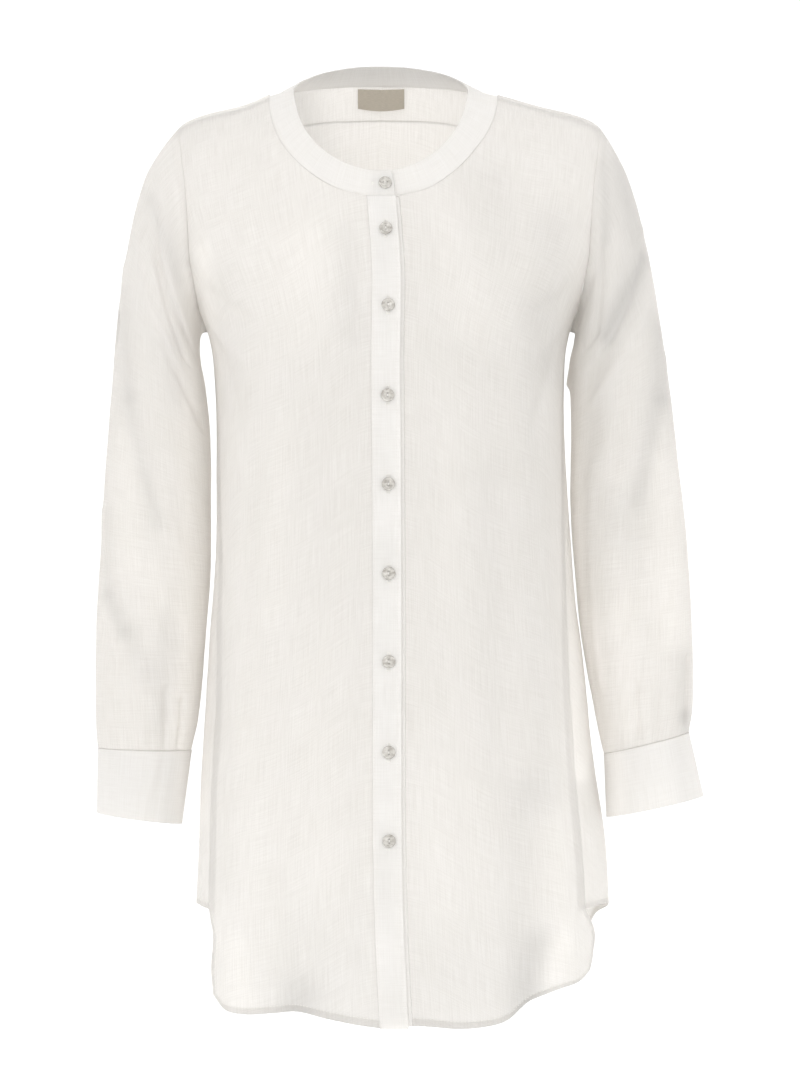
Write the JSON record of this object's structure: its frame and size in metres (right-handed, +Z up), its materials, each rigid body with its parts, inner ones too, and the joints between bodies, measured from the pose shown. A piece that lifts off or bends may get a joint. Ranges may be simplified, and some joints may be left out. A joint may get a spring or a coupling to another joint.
{
  "type": "blouse",
  "caption": "Long collarless blouse of thin off-white linen with a button front, long cuffed sleeves and a curved shirt-tail hem, filled out as when worn.",
  "frame": {"origin": "Midway between the high points of the shoulders at the neck, where the wearer's shoulders hold the blouse up.", "axes": "+Z up along the body, -Y out of the front, +X to the wearer's left."},
  "size_m": [0.545, 0.2582, 0.8695],
  "materials": {
    "linen": "thin plain-weave off-white linen, slightly see-through, soft and matt",
    "shell": "polished grey-beige shell",
    "label": "plain beige woven tape, bare"
  },
  "bodies": {
    "root": {"front_right": "linen", "front_left": "linen", "back": "linen", "yoke": "linen", "placket_right": "linen", "placket_left": "linen", "neck_band": "linen", "sleeve_right": "linen", "sleeve_left": "linen", "cuff_right": "linen", "cuff_left": "linen", "button_1": "shell", "button_2": "shell", "button_3": "shell", "button_4": "shell", "button_5": "shell", "button_6": "shell", "button_7": "shell", "button_8": "shell", "button_9": "shell", "cuff_button_right": "shell", "cuff_button_left": "shell", "neck_label": "label"}
  },
  "joints": []
}
